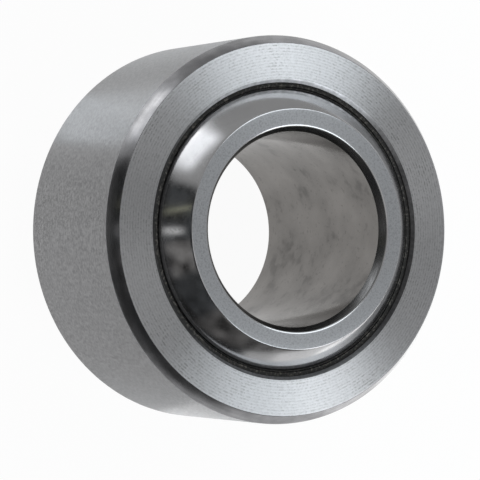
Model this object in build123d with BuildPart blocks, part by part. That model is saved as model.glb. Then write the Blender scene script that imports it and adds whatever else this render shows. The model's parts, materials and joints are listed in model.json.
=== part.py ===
from build123d import *
import os
from math import hypot, sqrt

# A spherical plain bearing with a woven liner, in millimetres.
# The bore runs along Z and the origin is the centre of the ball.

# Ball: its bore, its width over the flats, and the land left on each flat, which sets the sphere at 22.225
bore_diameter = 12.700
ball_width = 15.875
flat_land = 1.097
bore_chamfer_radial = 0.33
bore_chamfer_axial = 0.55
bore_lip_break = 0.12
ball_edge_break = 0.10

# Outer race: its wall at the middle, which sets the outside at 25.400, its width and its edges
race_wall = 1.2776
race_width = 12.827
race_chamfer_radial = 0.56
race_chamfer_axial = 0.88
mouth_chamfer_radial = 0.215
mouth_chamfer_axial = 0.20
race_edge_break = 0.05

# Liner, and its play round the ball
liner_thickness = 0.28
ball_clearance = 0.03

# Half widths, and then the radii from the bore outwards, each piece on the one inside it
half_ball = ball_width / 2
half_race = race_width / 2
half_seat = half_race - mouth_chamfer_axial
bore_radius = bore_diameter / 2
bore_mouth_radius = bore_radius + bore_chamfer_radial
ball_radius = hypot(bore_mouth_radius + flat_land, half_ball)
liner_radius = ball_radius + ball_clearance
seat_radius = liner_radius + liner_thickness
race_radius = seat_radius + race_wall


def sphere_arc(sphere_radius, half_width):
    """Section of a sphere about the origin, between two planes as far below its middle as above it."""
    end_radius = sqrt(sphere_radius**2 - half_width**2)
    return ThreePointArc((end_radius, -half_width), (sphere_radius, 0), (end_radius, half_width))


# Outer race: a ring with a spherical seat, and a chamfer at each mouth and at each end of the outside
face_radius = race_radius - race_chamfer_radial
half_land = half_race - race_chamfer_axial

with BuildPart() as outer_race:
    with BuildSketch(Plane.XZ):
        with BuildLine():
            seat = sphere_arc(seat_radius, half_seat)
            mouth_radius = (seat @ 1).X + mouth_chamfer_radial
            Polyline(
                seat @ 1,
                (mouth_radius, half_race),
                (face_radius, half_race),
                (race_radius, half_land),
                (race_radius, -half_land),
                (face_radius, -half_race),
                (mouth_radius, -half_race),
                seat @ 0,
            )
        make_face()
    revolve(axis=Axis.Z)
    rims_by_height = outer_race.edges().filter_by(GeomType.CIRCLE).group_by(Axis.Z)
    chamfer(rims_by_height[0] + rims_by_height[-1], race_edge_break)

outer_race.part.label = "outer_race"

# Liner: a woven ring bonded into the seat and trimmed level with the mouth chamfers
with BuildPart() as liner:
    with BuildSketch(Plane.XZ):
        with BuildLine():
            outside = sphere_arc(seat_radius, half_seat)
            inside = sphere_arc(liner_radius, half_seat)
            Line(outside @ 0, inside @ 0)
            Line(outside @ 1, inside @ 1)
        make_face()
    revolve(axis=Axis.Z)

liner.part.label = "liner"

# Ball: a sphere cut flat at both poles and bored through, with relieved edges
half_bore = half_ball - bore_chamfer_axial

with BuildPart() as ball:
    with BuildSketch(Plane.XZ):
        with BuildLine():
            crown = sphere_arc(ball_radius, half_ball)
            Polyline(
                crown @ 1,
                (bore_mouth_radius, half_ball),
                (bore_radius, half_bore),
                (bore_radius, -half_bore),
                (bore_mouth_radius, -half_ball),
                crown @ 0,
            )
        make_face()
    revolve(axis=Axis.Z)
    rims_by_height = ball.edges().filter_by(GeomType.CIRCLE).group_by(Axis.Z)
    for rims in (rims_by_height[0], rims_by_height[-1]):
        bore_rim, flat_rim = rims.sort_by(SortBy.RADIUS)
        chamfer(bore_rim, bore_lip_break)
        chamfer(flat_rim, ball_edge_break)

ball.part.label = "ball"

os.makedirs("parts", exist_ok=True)
for piece in (outer_race, liner, ball):
    export_step(piece.part, f"parts/{piece.part.label}.step")
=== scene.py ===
import json
from math import asin, hypot, pi, radians, sqrt, tan

import bmesh
import bpy
from bpy.props import FloatProperty, FloatVectorProperty, IntProperty, PointerProperty
from mathutils import Matrix, Vector


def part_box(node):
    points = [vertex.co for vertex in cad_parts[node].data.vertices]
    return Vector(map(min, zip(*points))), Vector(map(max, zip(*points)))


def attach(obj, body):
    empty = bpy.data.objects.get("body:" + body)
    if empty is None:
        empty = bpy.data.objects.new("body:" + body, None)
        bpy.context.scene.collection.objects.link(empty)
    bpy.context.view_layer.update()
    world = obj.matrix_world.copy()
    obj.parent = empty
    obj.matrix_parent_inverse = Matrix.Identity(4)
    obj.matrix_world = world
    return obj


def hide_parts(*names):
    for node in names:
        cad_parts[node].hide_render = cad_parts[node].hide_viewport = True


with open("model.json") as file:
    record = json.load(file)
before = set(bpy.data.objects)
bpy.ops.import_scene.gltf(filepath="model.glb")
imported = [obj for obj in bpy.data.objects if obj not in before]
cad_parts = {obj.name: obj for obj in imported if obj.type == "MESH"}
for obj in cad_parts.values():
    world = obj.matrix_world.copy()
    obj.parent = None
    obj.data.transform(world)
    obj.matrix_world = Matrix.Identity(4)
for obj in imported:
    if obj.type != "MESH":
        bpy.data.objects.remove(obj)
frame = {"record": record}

bl_info = {
    "name": "Spherical Plain Bearing",
    "version": (1, 0, 0),
    "blender": (4, 5, 0),
    "location": "View3D > Sidebar > Bearing",
    "description": "Turned rings, woven liner and polished ball of a spherical plain bearing",
    "category": "Add Mesh",
}

MM = 0.001

# How near a point or a face has to be to count as lying on a surface
SLACK = 0.01 * MM

# The papers that only reflections show: how high they lie above the ball's lower flat, and their steps
SHADE_LIFT = 0.05 * MM
PAPER_LIFT = 0.1 * MM
SHADE_SIDES = 64
CARD_STEPS = 24

# The Mix node's sockets for colours, which share their names with its sockets for other values
FIRST_COLOUR = 6
SECOND_COLOUR = 7
MIXED_COLOUR = 2

# Tints of the light and of what the steel mirrors
WHITE = (1, 1, 1)
LAMPLIGHT = (0.90, 0.96, 1)
DAYLIGHT = (0.95, 0.97, 1)
DAYLIT_PAPER = (0.93, 0.97, 1)
BLUE_CLOTH = (0.9, 0.95, 1)
BROWN_CLOTH = (1, 0.97, 0.95)
OLIVE_WALL = (1, 1, 0.75)

# What the frame says: the highest corner of each piece at rest, and the bore's radius
race_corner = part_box("outer_race")[1]
liner_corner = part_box("liner")[1]
ball_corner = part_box("ball")[1]
bore_mount = next(mount for mount in frame["record"]["mounts"] if mount["name"] == "bore")


def linear_colour(hex_code):
    """Linear red, green and blue of an sRGB colour written as six hex digits."""
    shares = [int(hex_code[start:start + 2], 16) / 255 for start in (0, 2, 4)]
    return [share / 12.92 if share <= 0.04045 else ((share + 0.055) / 1.055) ** 2.4 for share in shares]


def length(name, description, default):
    """A size in metres that shows in the scene's units."""
    return FloatProperty(name=name, description=description, default=default, unit="LENGTH", precision=6)


def angle(name, description, degrees):
    """An angle, given in degrees."""
    return FloatProperty(name=name, description=description, default=radians(degrees), subtype="ANGLE")


def step_count(name, description, default, least=8):
    """How many steps a round form is made of."""
    return IntProperty(name=name, description=description, default=default, min=least)


def brightness(name, description, default):
    """A level of light, of which 1 is white."""
    return FloatProperty(name=name, description=description, default=default, min=0)


def colour(name, description, hex_code):
    """A colour with its default given as sRGB hex digits."""
    return FloatVectorProperty(
        name=name, description=description, default=linear_colour(hex_code), subtype="COLOR", min=0, max=1
    )


class RaceSizes(bpy.types.PropertyGroup):
    radius: length("Radius", "Outside radius of the race", race_corner.x)
    half_width: length("Half width", "From the middle of the race to its faces", race_corner.z)
    chamfer_radial: length("Chamfer, radial", "Outer chamfer, measured across the face", 0.56 * MM)
    chamfer_axial: length("Chamfer, axial", "Outer chamfer, measured along the outside", 0.88 * MM)
    mouth_chamfer: length("Mouth chamfer", "Chamfer at the mouth, measured across the face", 0.215 * MM)
    edge_rounding: length("Edge rounding", "Break at the outer edges", 0.06 * MM)
    mouth_rounding: length("Mouth rounding", "Break between the faces and the mouth", 0.05 * MM)
    groove_pitch: length("Groove pitch", "From one ring of the facing cut to the next", 0.19 * MM)
    groove_width: length("Groove width", "Width of a ring left by the facing tool", 0.07 * MM)
    groove_depth: length("Groove depth", "Depth of a ring left by the facing tool", 0.003 * MM)
    seat_steps: step_count("Seat steps", "Steps along the section of the seat", 48)


class LinerSizes(bpy.types.PropertyGroup):
    outside_radius: length("Outside radius", "Radius of the seat that the cloth is bonded to", liner_corner.x)
    half_width: length("Half width", "From the middle of the liner to its trimmed edges", liner_corner.z)
    thickness: length("Thickness", "Thickness of the bonded cloth", 0.28 * MM)
    edge_recess: length("Edge recess", "How far the cut edge lies inside the race's mouth", 0.1 * MM)
    fray: length("Fray", "How far the cut threads stand out of line", 0.035 * MM)
    threads: step_count("Threads", "Threads across the cut edge", 4, least=2)
    section_steps: step_count("Section steps", "Steps along the liner's section", 48)


class BallSizes(bpy.types.PropertyGroup):
    radius: length("Radius", "Radius of the sphere", ball_corner.x)
    half_width: length("Half width", "From the middle of the ball to its flats", ball_corner.z)
    bore_radius: length("Bore radius", "Radius of the bore", bore_mount["dims"]["r_mm"] * MM)
    chamfer_radial: length("Bore chamfer, radial", "Bore chamfer, measured across the flat", 0.33 * MM)
    chamfer_axial: length("Bore chamfer, axial", "Bore chamfer, measured along the bore", 0.55 * MM)
    lip_rounding: length("Lip rounding", "Break between the flat and the bore's chamfer", 0.12 * MM)
    rim_rounding: length("Rim rounding", "Break between the flat and the sphere", 0.045 * MM)
    crown_steps: step_count("Crown steps", "Steps along the section of the sphere", 96)


class BearingColours(bpy.types.PropertyGroup):
    outside: colour("Ground outside", "Steel of the race's outside", "9D9D9E")
    face: colour("Turned faces", "Steel of the race's faces", "D8D9DB")
    chamfer: colour("Chamfers", "Steel of the race's chamfers", "949496")
    # Mouths: the steel's own tint, which the painted shade of the gap darkens everywhere but towards -X
    mouth: colour("Mouths", "Steel of the race's mouths where no resin stains it", "C4C4C6")
    sphere: colour("Polished sphere", "Steel of the ball's sphere", "BDBDBE")
    flat: colour("Ground flats", "Steel of the ball's flats", "AFB1B4")
    bore_chamfer: colour("Bore chamfers", "Steel of the bore's chamfers", "868686")
    bore: colour("Honed bore", "Steel of the bore", "888582")
    # Liner resin: partly its own dark tone, partly painted shade of the gap between race and ball
    resin: colour("Liner resin", "Dark resin that the cloth is soaked in", "151412")
    thread: colour("Liner thread", "Pale cut threads in the liner's edge", "625F59")
    floor: colour("Floor", "Paper that the bearing stands on", "F2F2F2")


class StageSizes(bpy.types.PropertyGroup):
    distance: length("Camera distance", "From the bearing's centre to the camera", 184.0 * MM)
    elevation: angle("Elevation", "Camera's height above the horizon", 61.375)
    roll: angle("Roll", "Turn of the camera that lays the bearing's axis level", 88.912)
    field: angle("Field of view", "Angle that the picture covers", 10)
    rise: length("Rise", "How far the bearing's centre lies above the picture's centre", 0.629 * MM)
    segments: step_count("Segments", "Steps round a full turn", 288, least=32)
    floor_size: length("Floor size", "Length of each side of the floor", 6.0)
    floor_gap: length("Floor gap", "Air between the floor and the ball's lower flat", 0.02 * MM)
    light_width: length("Light width", "Width of each softbox", 0.44)
    light_height: length("Light height", "Height of each softbox", 0.36)
    light_side: length("Light, sideways", "From the bore's axis to a softbox, along X", 0.345)
    light_back: length("Light, backwards", "From the bore's axis to a softbox, away from the camera", 0.18)
    light_rise: length("Light, upwards", "From the bearing's centre up to a softbox", 0.31)
    upper_light: brightness("Upper light", "Brightness of the softbox on the side of -X", 2.0)
    lower_light: brightness("Lower light", "Brightness of the softbox on the side of +X", 2.5)
    room: brightness("Room", "Brightness of the grey room round the stage", 0.42)
    # Shade: the level of the painted shadow inside the bore, which only the steel's reflections show
    shade: brightness("Shade", "Brightness of the paper inside the bore, as the steel mirrors it", 0.75)


def add_node(tree, kind, inputs=(), **settings):
    """Adds a node. Inputs are given by name or place, each as a value or as the output that feeds it."""
    made = tree.nodes.new(kind)
    for setting, value in settings.items():
        setattr(made, setting, value)
    for socket, value in dict(inputs).items():
        if isinstance(value, bpy.types.NodeSocket):
            tree.links.new(value, made.inputs[socket])
        else:
            made.inputs[socket].default_value = value
    return made


def plain_material(name):
    """A new material with an empty tree and its output node."""
    material = bpy.data.materials.new(name)
    material.use_nodes = True
    tree = material.node_tree
    tree.nodes.clear()
    return material, tree, tree.nodes.new("ShaderNodeOutputMaterial")


def layered(tree, *levels):
    """Levels laid over one another: the product of them all."""
    level, *others = levels
    for other in others:
        level = add_node(tree, "ShaderNodeMath", {0: level, 1: other}, operation="MULTIPLY").outputs[0]
    return level


def polar(tree, off_centre=0.0):
    """Each point's distance from the bore's axis and its way outwards, in its object's coordinates."""
    place = add_node(tree, "ShaderNodeTexCoord").outputs["Object"]
    shift, flatten = (off_centre, 0, 0), (1, 1, 0)
    moved = add_node(tree, "ShaderNodeVectorMath", {0: place, 1: shift}, operation="ADD").outputs[0]
    across = add_node(tree, "ShaderNodeVectorMath", {0: moved, 1: flatten}, operation="MULTIPLY").outputs[0]
    radius = add_node(tree, "ShaderNodeVectorMath", {0: across}, operation="LENGTH").outputs["Value"]
    outwards = add_node(tree, "ShaderNodeVectorMath", {0: across}, operation="NORMALIZE").outputs[0]
    return radius, outwards


def ring_place(tree, off_centre=0.0):
    """The radius plus the height, which sets rings apart on any turned surface, and the way outwards."""
    radius, outwards = polar(tree, off_centre)
    place = add_node(tree, "ShaderNodeTexCoord").outputs["Object"]
    height = add_node(tree, "ShaderNodeSeparateXYZ", {0: place}).outputs["Z"]
    return add_node(tree, "ShaderNodeMath", {0: radius, 1: height}, operation="ADD").outputs[0], outwards


def ring_wave(tree, pitch):
    """Even rings round the bore's axis, from -1 to 1, as the feed of a lathe leaves them."""
    ring, _ = ring_place(tree)
    turns = add_node(tree, "ShaderNodeMath", {0: ring, 1: 2 * pi / pitch}, operation="MULTIPLY").outputs[0]
    return add_node(tree, "ShaderNodeMath", {0: turns}, operation="SINE").outputs[0]


def ring_marks(tree, pitch, dash, detail=2.0, off_centre=0.0):
    """Noise that runs in rings round the bore's axis, as a lathe or a grinding wheel leaves its marks."""
    ring, outwards = ring_place(tree, off_centre)
    around = add_node(
        tree, "ShaderNodeVectorMath", {0: outwards, "Scale": race_corner.x / dash}, operation="SCALE"
    ).outputs[0]
    rung = add_node(tree, "ShaderNodeMath", {0: ring, 1: pitch}, operation="DIVIDE").outputs[0]
    rung = add_node(tree, "ShaderNodeCombineXYZ", {"Z": rung}).outputs[0]
    spot = add_node(tree, "ShaderNodeVectorMath", {0: around, 1: rung}, operation="ADD").outputs[0]
    return add_node(
        tree, "ShaderNodeTexNoise", {"Vector": spot, "Scale": 1.0, "Detail": detail}
    ).outputs["Fac"]


def crossed_rings(tree, pitch, dash, off_centre=0.8 * MM):
    """The darker of two sets of ring marks, which lie a little off the centre on opposite sides."""
    first = ring_marks(tree, pitch, dash, off_centre=-off_centre)
    second = ring_marks(tree, pitch, dash, off_centre=off_centre)
    return add_node(tree, "ShaderNodeMath", {0: first, 1: second}, operation="MINIMUM").outputs[0]


def blotches(tree, size, detail=2.0):
    """Noise with spots of one size in every direction."""
    place = add_node(tree, "ShaderNodeTexCoord").outputs["Object"]
    return add_node(
        tree, "ShaderNodeTexNoise", {"Vector": place, "Scale": 1 / size, "Detail": detail}
    ).outputs["Fac"]


def spread(tree, noise, low, high, start=0.35, end=0.65):
    """Stretches the middle of a noise over a range of values."""
    return add_node(tree, "ShaderNodeMapRange", {
        "Value": noise, "From Min": start, "From Max": end, "To Min": low, "To Max": high,
    }).outputs[0]


def shade(tree, level, tint):
    """The tint at the given level."""
    grey = add_node(tree, "ShaderNodeCombineColor", {0: level, 1: level, 2: level}).outputs[0]
    colours = {"Factor": 1.0, FIRST_COLOUR: (*tint, 1), SECOND_COLOUR: grey}
    mixed = add_node(tree, "ShaderNodeMix", colours, data_type="RGBA", blend_type="MULTIPLY")
    return mixed.outputs[MIXED_COLOUR]


def steel(tree, output, tint, level, roughness, height, relief, anisotropy):
    """Bare steel, its grain round the bore. Level darkens its tint, and relief is how far height rises."""
    bump = add_node(tree, "ShaderNodeBump", {"Height": height, "Distance": relief, "Strength": 1.0})
    around = add_node(tree, "ShaderNodeTangent", direction_type="RADIAL", axis="Z")
    # A quarter turn makes the grain draw reflections out across itself
    quarter_turn = 0.25
    surface = add_node(tree, "ShaderNodeBsdfPrincipled", {
        "Base Color": shade(tree, level, tint),
        "Metallic": 1.0,
        "Roughness": roughness,
        "Anisotropic": anisotropy,
        "Anisotropic Rotation": quarter_turn,
        "Tangent": around.outputs[0],
        "Normal": bump.outputs[0],
    })
    tree.links.new(surface.outputs[0], output.inputs["Surface"])


def turned_face(colours, groove_pitch):
    """Steel faced on a lathe: reflections spread outwards from the bore, and short cuts follow the feed."""
    # A real feed is about 0.1 mm a turn: its rings are drawn twice as coarse, so that they show
    material, tree, output = plain_material("turned_face_steel")
    feed = ring_wave(tree, groove_pitch)
    mottle = crossed_rings(tree, pitch=0.09 * MM, dash=0.2 * MM)
    furrows = spread(tree, feed, 1.0, 0.0, start=-0.3, end=0.4)
    dashes = spread(tree, ring_marks(tree, groove_pitch, dash=0.22 * MM), 1.0, 0.0, start=0.4, end=0.5)
    cuts = layered(tree, furrows, dashes, spread(tree, blotches(tree, 3 * MM), 0.2, 1.0))
    level = layered(
        tree,
        spread(tree, feed, 0.9, 1.0, start=-1.0, end=1.0),
        spread(tree, mottle, 0.82, 1.0, start=0.3, end=0.5),
        spread(tree, cuts, 1.0, 0.64, start=0.0, end=1.0),
    )
    roughness = spread(tree, cuts, 0.48, 0.3, start=0.0, end=1.0)
    steel(tree, output, colours.face, level, roughness, height=mottle, relief=0.0012 * MM, anisotropy=1.0)
    return material


def ground_outside(colours):
    """Steel ground on its outside: a fine satin grain that pulls light into bands along the ring."""
    # Real grit lines are about 0.02 mm apart: the grain is drawn seven times as coarse, so that it shows
    material, tree, output = plain_material("ground_outside_steel")
    grain = ring_marks(tree, pitch=0.14 * MM, dash=0.2 * MM, detail=3.0)
    level, roughness = spread(tree, grain, 0.92, 1.0), spread(tree, grain, 0.43, 0.3)
    steel(tree, output, colours.outside, level, roughness, height=grain, relief=0.002 * MM, anisotropy=1.0)
    return material


def turned_chamfer(colours):
    """Steel cut by a chamfering tool: darker and smoother than the faces, with fine rings and patches."""
    material, tree, output = plain_material("turned_chamfer_steel")
    rings = ring_marks(tree, pitch=0.12 * MM, dash=3 * MM)
    patches = spread(tree, blotches(tree, 0.9 * MM), 0.8, 1.05)
    level = layered(tree, spread(tree, rings, 0.85, 1.0), patches)
    roughness = spread(tree, rings, 0.24, 0.18)
    steel(tree, output, colours.chamfer, level, roughness, height=rings, relief=0.0004 * MM, anisotropy=0.5)
    return material


def shade_painted_mouth(colours):
    """Steel at the race's mouth with painted shade: dark like the shaded gap, but left light towards -X,
    where light falls on it.
    """
    material, tree, output = plain_material("shade_painted_mouth_steel")
    place = add_node(tree, "ShaderNodeTexCoord").outputs["Object"]
    side = add_node(tree, "ShaderNodeSeparateXYZ", {0: place}).outputs["X"]
    patches = blotches(tree, 0.25 * MM)
    # Painted shade, not a stain: full level towards -X, where light falls, and darkened like the gap
    # everywhere else
    resin = spread(tree, side, 1.0, 0.2, start=-8.5 * MM, end=-4 * MM)
    level = layered(tree, resin, spread(tree, patches, 0.7, 1.0))
    roughness = spread(tree, patches, 0.4, 0.28)
    steel(tree, output, colours.mouth, level, roughness, height=patches, relief=0.001 * MM, anisotropy=0.8)
    return material


def polished_sphere(colours):
    """Hard steel lapped to a soft mirror, with faint smears and a trace of grain from running in."""
    # Lapping marks are far under 0.01 mm: the pits stand for them at ten times that, so that they show
    material, tree, output = plain_material("polished_sphere_steel")
    smears = blotches(tree, 2.5 * MM, detail=4.0)
    pits = spread(tree, blotches(tree, 0.1 * MM, detail=1.0), 0.0, 0.08, start=0.5, end=0.7)
    level = spread(tree, smears, 0.92, 1.0)
    lapped = spread(tree, smears, 0.17, 0.09)
    roughness = add_node(tree, "ShaderNodeMath", {0: lapped, 1: pits}, operation="ADD").outputs[0]
    steel(tree, output, colours.sphere, level, roughness, height=pits, relief=0.0, anisotropy=0.0)
    return material


def ground_flat(colours):
    """Steel ground flat: a satin with a fine broken grain."""
    # Real grit lines are about 0.02 mm apart: the grain is drawn five times as coarse, so that it shows
    material, tree, output = plain_material("ground_flat_steel")
    grain = crossed_rings(tree, pitch=0.1 * MM, dash=0.22 * MM)
    level, roughness = spread(tree, grain, 0.7, 1.0, start=0.3, end=0.5), spread(tree, grain, 0.42, 0.3)
    steel(tree, output, colours.flat, level, roughness, height=grain, relief=0.0015 * MM, anisotropy=0.3)
    return material


def turned_bore_chamfer(colours):
    """Steel at the bore's mouths: a duller cut than the race's, so that it dims what it mirrors."""
    material, tree, output = plain_material("turned_bore_chamfer_steel")
    rings = ring_marks(tree, pitch=0.1 * MM, dash=1.5 * MM)
    level, roughness = spread(tree, rings, 0.8, 1.0), spread(tree, rings, 0.3, 0.24)
    tint = colours.bore_chamfer
    steel(tree, output, tint, level, roughness, height=rings, relief=0.0004 * MM, anisotropy=0.0)
    return material


def honed_bore(colours):
    """Steel honed to size: satin, with smudges of oil, and small stains where the smudges are darkest."""
    material, tree, output = plain_material("honed_bore_steel")
    smudges = blotches(tree, 3.2 * MM, detail=4.0)
    spots = blotches(tree, 0.9 * MM, detail=6.0)
    stains = add_node(tree, "ShaderNodeMath", {0: spots, 1: smudges}, operation="ADD").outputs[0]
    level = layered(
        tree,
        spread(tree, smudges, 0.74, 1.0),
        spread(tree, blotches(tree, 0.3 * MM, detail=1.0), 0.8, 1.0, start=0.28, end=0.36),
        spread(tree, stains, 0.74, 1.0, start=0.74, end=0.9),
    )
    roughness = spread(tree, smudges, 0.2, 0.12)
    steel(tree, output, colours.bore, level, roughness, height=smudges, relief=0.0, anisotropy=0.0)
    return material


def woven_liner(colours, bond_radius, inner_radius):
    """Cloth of low-friction thread in resin, with pale cut threads near the ball; it darkens towards its bond
    line as painted shade of the gap.
    """
    # Threads are about 0.1 mm thick: their cut ends are drawn a little coarser, so that they show
    material, tree, output = plain_material("woven_liner")
    radius, _ = polar(tree)
    # Painted shade: the pale threads fade out towards the bond line, so the cloth darkens where the gap lies
    # in shadow
    inwards = spread(tree, radius, 0.0, 1.0, start=bond_radius, end=inner_radius)
    weave = blotches(tree, 0.16 * MM, detail=3.0)
    threads = layered(tree, spread(tree, weave, 0.0, 1.0, start=0.52, end=0.66), inwards)
    tints = {"Factor": threads, FIRST_COLOUR: (*colours.resin, 1), SECOND_COLOUR: (*colours.thread, 1)}
    tint = add_node(tree, "ShaderNodeMix", tints, data_type="RGBA")
    bump = add_node(tree, "ShaderNodeBump", {"Height": weave, "Distance": 0.03 * MM, "Strength": 1.0})
    cloth = add_node(tree, "ShaderNodeBsdfPrincipled", {
        "Base Color": tint.outputs[MIXED_COLOUR], "Roughness": 0.8, "Normal": bump.outputs[0],
    })
    tree.links.new(cloth.outputs[0], output.inputs["Surface"])
    return material


def begin_piece(name):
    """Names the object that a primitive has just made and puts its place and turn into its mesh."""
    piece = bpy.context.object
    piece.name = name
    piece.data.name = name
    bpy.ops.object.transform_apply(location=True, rotation=True, scale=True)
    return piece


def start_section(name, radius, height):
    """Leaves in edit mode one point of a section, selected, on the side of +X."""
    bpy.ops.object.select_all(action="DESELECT")
    bpy.ops.mesh.primitive_plane_add(size=MM, location=(radius, 0, height))
    piece = begin_piece(name)
    bpy.ops.object.mode_set(mode="EDIT")
    bpy.ops.mesh.select_mode(type="VERT")
    bpy.ops.mesh.select_all(action="SELECT")
    bpy.ops.mesh.merge(type="CENTER")
    bpy.ops.mesh.select_all(action="SELECT")
    return piece


def sweep_arc(sphere_radius, half_height, steps, way=1):
    """Takes the selected point up a sphere's section from its lower end, or down it with way -1."""
    turn = 2 * asin(half_height / sphere_radius)
    bpy.ops.mesh.spin(steps=steps, angle=turn, center=(0, 0, 0), axis=(0, way, 0))


def draw_to(piece, corners):
    """Extrudes the selected point of a section from corner to corner."""
    for radius, height in corners:
        here = next(vertex.co for vertex in bmesh.from_edit_mesh(piece.data).verts if vertex.select)
        move = Vector((radius, 0, height)) - here
        bpy.ops.mesh.extrude_region_move(TRANSFORM_OT_translate={"value": move})


def close_section(piece):
    """Joins the last point of a section to its first."""
    select_verts(piece, lambda vertex: len(vertex.link_edges) == 1)
    bpy.ops.mesh.edge_face_add()


def select_verts(piece, test):
    """In edit mode, selects the vertices that pass a test, and nothing else."""
    bpy.ops.mesh.select_all(action="DESELECT")
    shape = bmesh.from_edit_mesh(piece.data)
    for vertex in shape.verts:
        vertex.select_set(test(vertex))
    shape.select_flush(True)
    bmesh.update_edit_mesh(piece.data)


def round_corners(piece, radius, height, rounding):
    """Rounds the corner that a section has at this radius, at both ends of the bearing."""
    nearby = 0.001 * MM
    select_verts(piece, lambda vertex: hypot(vertex.co.x - radius, abs(vertex.co.z) - height) < nearby)
    bpy.ops.mesh.bevel(offset=rounding, segments=4, profile=0.5, affect="VERTICES")


def spin_section(piece, segments):
    """Turns the closed section once round the bore's axis into a closed ring with outward faces."""
    bpy.ops.mesh.select_all(action="SELECT")
    bpy.ops.mesh.spin(steps=segments, angle=2 * pi, center=(0, 0, 0), axis=(0, 0, 1))
    bpy.ops.mesh.select_all(action="SELECT")
    bpy.ops.mesh.remove_doubles(threshold=0.0001 * MM)
    bpy.ops.mesh.normals_make_consistent(inside=False)
    bpy.ops.object.mode_set(mode="OBJECT")


def dress(piece, finishes):
    """Gives each face the first finish whose test it passes, by its middle's radius and height."""
    for material, _ in finishes:
        piece.data.materials.append(material)
    for face in piece.data.polygons:
        radius, height = hypot(face.center.x, face.center.y), abs(face.center.z)
        face.material_index = next(i for i, (_, test) in enumerate(finishes) if test(radius, height))


def any_place(radius, height):
    """A test that every face passes."""
    return True


def finish_piece(piece, body, node):
    """Smooths a turned piece, weights its normals by face and puts it in its node's place."""
    bpy.ops.object.shade_smooth_by_angle(angle=radians(30))
    piece.modifiers.new("Weighted Normal", "WEIGHTED_NORMAL").keep_sharp = True
    bpy.ops.object.modifier_apply(modifier="Weighted Normal")
    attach(piece, body)
    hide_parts(node)


class BEARING_OT_outer_race(bpy.types.Operator):
    """Turns the outer race: ground outside, turned faces, chamfers and spherical seat"""

    bl_idname = "bearing.outer_race"
    bl_label = "Outer Race"

    def execute(self, context):
        scene = context.scene
        race, liner, colours = scene.bearing_race, scene.bearing_liner, scene.bearing_colours
        half_land = race.half_width - race.chamfer_axial
        face_radius = race.radius - race.chamfer_radial
        seat_end = sqrt(liner.outside_radius**2 - liner.half_width**2)
        mouth_radius = seat_end + race.mouth_chamfer

        ring = start_section("outer_race_turned", seat_end, -liner.half_width)
        sweep_arc(liner.outside_radius, liner.half_width, race.seat_steps)
        draw_to(ring, [(mouth_radius, race.half_width)])
        draw_to(ring, facing_grooves(race, mouth_radius, face_radius, 1))
        draw_to(ring, [
            (face_radius, race.half_width),
            (race.radius, half_land),
            (race.radius, -half_land),
            (face_radius, -race.half_width),
        ])
        draw_to(ring, facing_grooves(race, mouth_radius, face_radius, -1))
        draw_to(ring, [(mouth_radius, -race.half_width)])
        close_section(ring)
        round_corners(ring, mouth_radius, race.half_width, race.mouth_rounding)
        round_corners(ring, face_radius, race.half_width, race.edge_rounding)
        round_corners(ring, race.radius, half_land, race.edge_rounding)
        spin_section(ring, scene.bearing_stage.segments)

        faced = turned_face(colours, race.groove_pitch)
        dress(ring, [
            (faced, lambda radius, height: height > race.half_width - SLACK),
            (ground_outside(colours), lambda radius, height: radius > race.radius - SLACK),
            (turned_chamfer(colours), lambda radius, height: radius > face_radius - SLACK),
            (shade_painted_mouth(colours), any_place),
        ])
        finish_piece(ring, "race", "outer_race")
        return {"FINISHED"}


def facing_grooves(race, mouth_radius, face_radius, side):
    """Corners of the facing tool's shallow rings, outwards on the side 1 or inwards on the side -1."""
    margin = 2 * race.edge_rounding
    count = int((face_radius - mouth_radius - 2 * margin) / race.groove_pitch)
    corners = []
    for groove in range(count):
        start = mouth_radius + margin + groove * race.groove_pitch
        for step, depth in ((0, 0), (race.groove_width / 2, race.groove_depth), (race.groove_width, 0)):
            corners.append((start + step, side * (race.half_width - depth)))
    return corners if side > 0 else corners[::-1]


class BEARING_OT_liner(bpy.types.Operator):
    """Forms the woven liner, bonded to the race's seat and trimmed just inside its mouths"""

    bl_idname = "bearing.liner"
    bl_label = "Liner"

    def execute(self, context):
        scene = context.scene
        liner, colours = scene.bearing_liner, scene.bearing_colours
        half_cloth = liner.half_width - liner.edge_recess
        inside_radius = liner.outside_radius - liner.thickness
        outer_end = sqrt(liner.outside_radius**2 - half_cloth**2)
        inner_end = sqrt(inside_radius**2 - half_cloth**2)

        cut = [outer_end + (inner_end - outer_end) * step / liner.threads for step in range(1, liner.threads)]
        cloth = start_section("liner_cloth", outer_end, -half_cloth)
        sweep_arc(liner.outside_radius, half_cloth, liner.section_steps)
        draw_to(cloth, [(radius, half_cloth) for radius in (*cut, inner_end)])
        sweep_arc(inside_radius, half_cloth, liner.section_steps, way=-1)
        draw_to(cloth, [(radius, -half_cloth) for radius in reversed(cut)])
        close_section(cloth)
        spin_section(cloth, 2 * scene.bearing_stage.segments)
        fray_edge(cloth, half_cloth, inner_end, outer_end, liner.fray)

        dress(cloth, [(woven_liner(colours, outer_end, inner_end), any_place)])
        finish_piece(cloth, "race", "liner")
        return {"FINISHED"}


def fray_edge(cloth, height, inner_end, outer_end, fray):
    """Shifts the points inside the cut edges a little, the same at each run, as threads end unevenly."""
    bpy.ops.object.mode_set(mode="EDIT")
    select_verts(cloth, lambda vertex: (
        abs(vertex.co.z) > height - SLACK and inner_end + SLACK < vertex.co.xy.length < outer_end - SLACK
    ))
    bpy.ops.transform.vertex_random(offset=fray, seed=1)
    bpy.ops.object.mode_set(mode="OBJECT")


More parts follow.
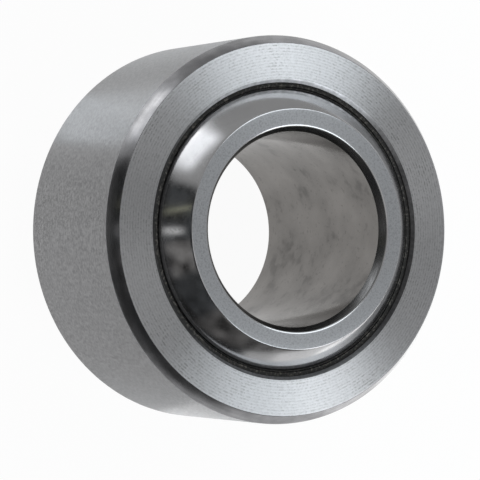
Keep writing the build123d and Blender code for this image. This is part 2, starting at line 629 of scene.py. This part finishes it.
class BEARING_OT_ball(bpy.types.Operator):
    """Turns the ball: polished sphere, ground flats, chamfered and honed bore"""

    bl_idname = "bearing.ball"
    bl_label = "Ball"

    def execute(self, context):
        scene = context.scene
        ball, colours = scene.bearing_ball, scene.bearing_colours
        rim_radius = sqrt(ball.radius**2 - ball.half_width**2)
        lip_radius = ball.bore_radius + ball.chamfer_radial
        half_bore = ball.half_width - ball.chamfer_axial

        turned = start_section("ball_turned", rim_radius, -ball.half_width)
        sweep_arc(ball.radius, ball.half_width, ball.crown_steps)
        draw_to(turned, [
            (lip_radius, ball.half_width),
            (ball.bore_radius, half_bore),
            (ball.bore_radius, -half_bore),
            (lip_radius, -ball.half_width),
        ])
        close_section(turned)
        round_corners(turned, lip_radius, ball.half_width, ball.lip_rounding)
        round_corners(turned, rim_radius, ball.half_width, ball.rim_rounding)
        spin_section(turned, scene.bearing_stage.segments)

        dress(turned, [
            (ground_flat(colours), lambda radius, height: height > ball.half_width - SLACK),
            (honed_bore(colours), lambda radius, height: radius < ball.bore_radius + SLACK),
            (turned_bore_chamfer(colours), lambda radius, height: radius < lip_radius + SLACK),
            (polished_sphere(colours), any_place),
        ])
        finish_piece(turned, "ball", "ball")
        return {"FINISHED"}


class BEARING_OT_stage(bpy.types.Operator):
    """Sets the floor, the lights and the camera"""

    bl_idname = "bearing.stage"
    bl_label = "Stage"

    def execute(self, context):
        scene = context.scene
        stage, ball, colours = scene.bearing_stage, scene.bearing_ball, scene.bearing_colours
        scene.view_settings.view_transform = "Standard"

        bpy.ops.object.select_all(action="DESELECT")
        ground = (0, 0, -ball.half_width - stage.floor_gap)
        bpy.ops.mesh.primitive_plane_add(size=stage.floor_size, location=ground)
        floor = begin_piece("floor")
        floor.data.materials.append(paper_floor(colours.floor))
        lay_shaded_paper(ball.bore_radius, stage.shade)

        world = bpy.data.worlds.new("grey_room")
        scene.world = world
        world.use_nodes = True
        grey = (stage.room, stage.room, stage.room, 1)
        world.node_tree.nodes["Background"].inputs["Color"].default_value = grey

        add_softbox(stage, "upper_light", stage.upper_light, -stage.light_side)
        add_softbox(stage, "lower_light", stage.lower_light, stage.light_side)
        hang_walls()
        lay_papers()
        hang_lamps()
        add_camera(stage)
        return {"FINISHED"}


def paper_floor(tint):
    """White paper: most of its white is its own, so that it stays pale and keeps a trace of shadow."""
    own_white = 0.95
    material, tree, output = plain_material("white_paper")
    rays = add_node(tree, "ShaderNodeLightPath").outputs
    seen = rays["Is Camera Ray"]
    for other in (rays["Is Glossy Ray"], rays["Is Transmission Ray"]):
        seen = add_node(tree, "ShaderNodeMath", {0: seen, 1: other}, operation="MAXIMUM").outputs[0]
    share = add_node(tree, "ShaderNodeMath", {0: seen, 1: own_white}, operation="MULTIPLY").outputs[0]
    matt = add_node(tree, "ShaderNodeBsdfDiffuse", {"Color": (*tint, 1)})
    glow = add_node(tree, "ShaderNodeEmission", {"Color": (*WHITE, 1), "Strength": 1.0})
    mix = add_node(tree, "ShaderNodeMixShader", {0: share, 1: matt.outputs[0], 2: glow.outputs[0]})
    tree.links.new(mix.outputs[0], output.inputs["Surface"])
    return material


def add_softbox(stage, name, level, side):
    """A soft panel of light that faces the bearing. At level 1 its reflection is white."""
    place = Vector((side, stage.light_back, stage.light_rise))
    bpy.ops.object.light_add(type="AREA", location=place, rotation=place.to_track_quat("Z", "Y").to_euler())
    panel = bpy.context.object
    panel.name = name
    panel.data.shape = "RECTANGLE"
    panel.data.size, panel.data.size_y = stage.light_width, stage.light_height
    panel.data.energy = level * pi * stage.light_width * stage.light_height
    panel.data.color = LAMPLIGHT
    panel.visible_camera = False


def lay_shaded_paper(radius, level):
    """A glowing grey disc on the floor inside the bore: painted shadow, which reflections see in place of the
    lit paper round it.
    """
    bpy.ops.object.select_all(action="DESELECT")
    bpy.ops.mesh.primitive_circle_add(
        vertices=SHADE_SIDES, radius=radius, fill_type="NGON", location=(0, 0, SHADE_LIFT - ball_corner.z)
    )
    disc = begin_piece("shaded_paper")
    material, tree, output = plain_material("shaded_paper")
    grey = add_node(tree, "ShaderNodeEmission", {"Color": (*WHITE, 1), "Strength": level})
    tree.links.new(grey.outputs[0], output.inputs["Surface"])
    disc.data.materials.append(material)
    for_reflections_only(disc)


def for_reflections_only(shape):
    """Puts a shape on the stage so that only reflections show it."""
    shape.visible_camera = shape.visible_diffuse = shape.visible_shadow = shape.visible_transmission = False


def wall(low, high, radius=80 * MM):
    """Lower and upper end of an upright card, as radius and height, from angles above the ball's flat."""
    return [(radius, ball_corner.z + radius * tan(radians(rise))) for rise in (low, high)]


def paper(inner, outer):
    """Inner and outer end of a card that lies on the floor, each as radius and height."""
    return [(radius, PAPER_LIFT - ball_corner.z) for radius in (inner, outer)]


def hang_walls():
    """The room as the steel mirrors it, from its window to the wall opposite."""
    # Bright patch at the upper left of the ball and of the chamfers
    add_card("window", 1.9, DAYLIGHT, azimuth=54, reach=19, fade=(11, 9), section=wall(-11, 18))
    # Dark left side of the ball and of the chamfers, with a black foot
    add_card("dark_cloth", 0.06, BLUE_CLOTH, azimuth=-31, reach=66, fade=(8, 8),
             section=wall(-16, 44, radius=85 * MM), folds=0.7)
    add_card("black_base", 0.02, WHITE, azimuth=-26, reach=62, fade=(8, 3),
             section=wall(-16, 7, radius=83 * MM))
    # White spot at the left of the ball, with an olive streak above it and grey folds below
    add_card("pale_gap", 0.75, WHITE, azimuth=0.5, reach=3.6, fade=(3, 9), section=wall(1, 24))
    add_card("olive_gap", 0.5, OLIVE_WALL, azimuth=14.5, reach=2.2, fade=(2.2, 8),
             section=wall(2, 30), lean=-14)
    add_card("grey_cloth", 0.15, BROWN_CLOTH, azimuth=-17, reach=14, fade=(6, 6),
             section=wall(4, 30), folds=0.9)
    # Dark lower left of the ball, which ends in a paler foot
    add_card("far_cloth", 0.1, BROWN_CLOTH, azimuth=-89, reach=36, fade=(10, 5),
             section=wall(-2, 36), folds=0.7)
    add_card("low_window", 0.6, WHITE, azimuth=-97, reach=11, fade=(7, 5), section=wall(-10, 3))
    # Even grey across the top of the ball
    add_card("grey_wall", 0.4, WHITE, azimuth=112, reach=42, fade=(4, 4),
             section=wall(-16, 8, radius=62 * MM))


def lay_papers():
    """The paper round the bearing as the steel mirrors it, patch by patch."""
    # Pale band along the race's outside, with the streaks of creased paper
    add_card("lit_paper", 1.5, DAYLIT_PAPER, azimuth=57.5, reach=15, fade=(2, 1),
             section=paper(8 * MM, 60 * MM), centre=(-1.4 * MM, -5.8 * MM), folds=0.35, fold_size=3 * MM)
    # Streak at the lower right of the ball and of the outer chamfer
    add_card("lit_floor", 1.8, WHITE, azimuth=-145, reach=24, fade=(10, 5),
             section=paper(26 * MM, 90 * MM))
    # Pale right side of the outer chamfer
    add_card("bright_floor", 1.6, WHITE, azimuth=-170, reach=34, fade=(12, 3),
             section=paper(20 * MM, 38 * MM))
    # Light along the lower edge of the race's outside
    add_card("near_floor", 2.2, WHITE, azimuth=-100, reach=22, fade=(6, 4),
             section=paper(13.2 * MM, 24 * MM))


def hang_lamps():
    """Small bright cards, most of them mirrored by rounded edges alone."""
    # Glint at the left of the edges
    add_card("high_window", 0.7, WHITE, azimuth=-38, reach=42, fade=(8, 8), section=wall(52, 80))
    # Brighter foot of the window, in the chamfers
    add_card("window_sill", 2.8, WHITE, azimuth=54, reach=13, fade=(5, 4),
             section=wall(-10, 2, radius=70 * MM))
    # Glints at the lower left of the edges and at their foot
    add_card("rim_light", 1.2, WHITE, azimuth=-35, reach=32, fade=(10, 3), section=wall(45, 57))
    add_card("side_light", 3.3, WHITE, azimuth=-132, reach=16, fade=(5, 5), section=wall(15, 36))


def add_card(
    name, level, tint, azimuth, reach, fade, section, centre=(0, 0), lean=0, folds=0.0, fold_size=12 * MM
):
    """A curved card on the stage that only reflections show.

    Its section is a line from one radius and height to another, turned about a centre. Azimuth is the angle
    from the camera's side towards -X, and reach the angle to each side of it. Its edges fade over an angle,
    and over an angle's worth of its section. Folds is how much its level varies. All angles are in degrees.
    """
    (inner, low), (outer, high) = section
    middle = (low + high) / 2
    to_first_edge = Matrix.Rotation(radians(reach), 3, "Z")
    bpy.ops.object.select_all(action="DESELECT")
    bpy.ops.mesh.primitive_plane_add(size=MM)
    card = begin_piece(name)
    bpy.ops.object.mode_set(mode="EDIT")
    bpy.ops.mesh.select_mode(type="VERT")
    bpy.ops.mesh.merge(type="CENTER")
    bpy.ops.mesh.select_all(action="SELECT")
    bpy.ops.transform.translate(value=to_first_edge @ Vector((0, -inner, low - middle)))
    across = to_first_edge @ Vector((0, inner - outer, high - low))
    bpy.ops.mesh.extrude_region_move(TRANSFORM_OT_translate={"value": across})
    bpy.ops.mesh.select_all(action="SELECT")
    bpy.ops.mesh.spin(steps=CARD_STEPS, angle=2 * radians(reach), center=(0, 0, 0), axis=(0, 0, 1))
    bpy.ops.object.mode_set(mode="OBJECT")
    card.location = (*centre, middle)
    card.rotation_euler = (0, radians(lean), -radians(azimuth))
    card.data.materials.append(glowing_card(name, level, tint, reach, fade, section, folds, fold_size))
    for_reflections_only(card)


def glowing_card(name, level, tint, reach, fade, section, folds, fold_size):
    """Light that fades out towards a card's edges, so that no hard line shows, and varies over its folds."""
    (inner, low), (outer, high) = section
    side_fade, end_fade = fade
    half_length = hypot(outer - inner, high - low) / 2
    material, tree, output = plain_material(name)
    ring, outwards = ring_place(tree)
    middle = (inner + outer) / 2
    along = add_node(tree, "ShaderNodeMath", {0: ring, 1: middle}, operation="SUBTRACT").outputs[0]
    way = add_node(tree, "ShaderNodeSeparateXYZ", {0: outwards}).outputs
    near = add_node(tree, "ShaderNodeMath", {0: way["Y"], 1: -1.0}, operation="MULTIPLY").outputs[0]
    direction = add_node(tree, "ShaderNodeMath", {0: way["X"], 1: near}, operation="ARCTAN2").outputs[0]
    side_edges = fade_out(tree, direction, radians(reach), radians(side_fade))
    end_edges = fade_out(tree, along, half_length, outer * radians(end_fade))
    cover = layered(tree, end_edges, side_edges)
    clear = add_node(tree, "ShaderNodeBsdfTransparent")
    cloth = spread(tree, blotches(tree, fold_size, detail=5.0), level * (1 - folds), level * (1 + folds))
    glow = add_node(tree, "ShaderNodeEmission", {"Color": (*tint, 1), "Strength": cloth})
    mix = add_node(tree, "ShaderNodeMixShader", {0: cover, 1: clear.outputs[0], 2: glow.outputs[0]})
    tree.links.new(mix.outputs[0], output.inputs["Surface"])
    return material


def fade_out(tree, value, end, soft):
    """1 while a value is near zero, falling softly to 0 at an end on each side."""
    distance = add_node(tree, "ShaderNodeMath", {0: value}, operation="ABSOLUTE").outputs[0]
    return add_node(tree, "ShaderNodeMapRange", {
        "Value": distance,
        "From Min": end - soft,
        "From Max": end,
        "To Min": 1.0,
        "To Max": 0.0,
    }, interpolation_type="SMOOTHSTEP").outputs[0]


def add_camera(stage):
    """The photograph's view: from above the horizon, rolled so that the bearing's axis lies level."""
    turn = Matrix.Rotation(pi / 2 - stage.elevation, 4, "X") @ Matrix.Rotation(stage.roll, 4, "Z")
    place = turn @ Vector((0, -stage.rise, stage.distance))
    bpy.ops.object.camera_add(location=place, rotation=turn.to_euler())
    camera = bpy.context.object
    camera.data.angle = stage.field
    camera.data.clip_start = 0.01
    bpy.context.scene.camera = camera


class BEARING_PT_panel(bpy.types.Panel):
    """Lists the bearing's pieces, sizes and colours"""

    bl_label = "Bearing"
    bl_idname = "BEARING_PT_panel"
    bl_space_type = "VIEW_3D"
    bl_region_type = "UI"
    bl_category = "Bearing"

    def draw(self, context):
        layout = self.layout
        for operator in OPERATORS:
            layout.operator(operator.bl_idname)
        for group in SETTINGS:
            box = layout.box()
            settings = getattr(context.scene, group)
            for name in settings.__annotations__:
                box.prop(settings, name)


SETTINGS = {
    "bearing_race": RaceSizes,
    "bearing_liner": LinerSizes,
    "bearing_ball": BallSizes,
    "bearing_colours": BearingColours,
    "bearing_stage": StageSizes,
}
OPERATORS = (BEARING_OT_outer_race, BEARING_OT_liner, BEARING_OT_ball, BEARING_OT_stage)
CLASSES = (*SETTINGS.values(), *OPERATORS, BEARING_PT_panel)


def register():
    """Makes the sizes, the operators and the panel known to Blender."""
    for kind in CLASSES:
        bpy.utils.register_class(kind)
    for name, group in SETTINGS.items():
        setattr(bpy.types.Scene, name, PointerProperty(type=group))


def unregister():
    """Takes them out again, the last one first."""
    for name in SETTINGS:
        delattr(bpy.types.Scene, name)
    for kind in reversed(CLASSES):
        bpy.utils.unregister_class(kind)


def main():
    """Makes every piece and the stage."""
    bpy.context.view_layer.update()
    register()
    bpy.ops.bearing.outer_race()
    bpy.ops.bearing.liner()
    bpy.ops.bearing.ball()
    bpy.ops.bearing.stage()


if __name__ == "__main__":
    main()
